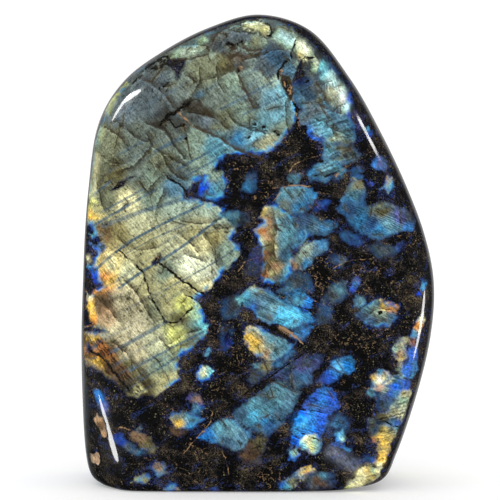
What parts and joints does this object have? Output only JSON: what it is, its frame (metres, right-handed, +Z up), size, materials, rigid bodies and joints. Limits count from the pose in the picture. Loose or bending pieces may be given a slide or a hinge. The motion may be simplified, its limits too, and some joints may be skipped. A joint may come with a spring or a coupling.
{
  "type": "polished stone freeform",
  "caption": "Freestanding polished stone freeform: a broad, thick slab with a rounded asymmetric outline, soft shoulders and a flat sawn foot.",
  "frame": {"origin": "middle of the flat base, in its plane", "axes": "+Z up through the stone's height, +X to the right across the broad face as seen from the front, -Y out of the broad front face"},
  "size_m": [0.0972, 0.0432, 0.13],
  "materials": {
    "stone": "polished"
  },
  "bodies": {
    "root": {"stone": "stone"}
  },
  "joints": []
}
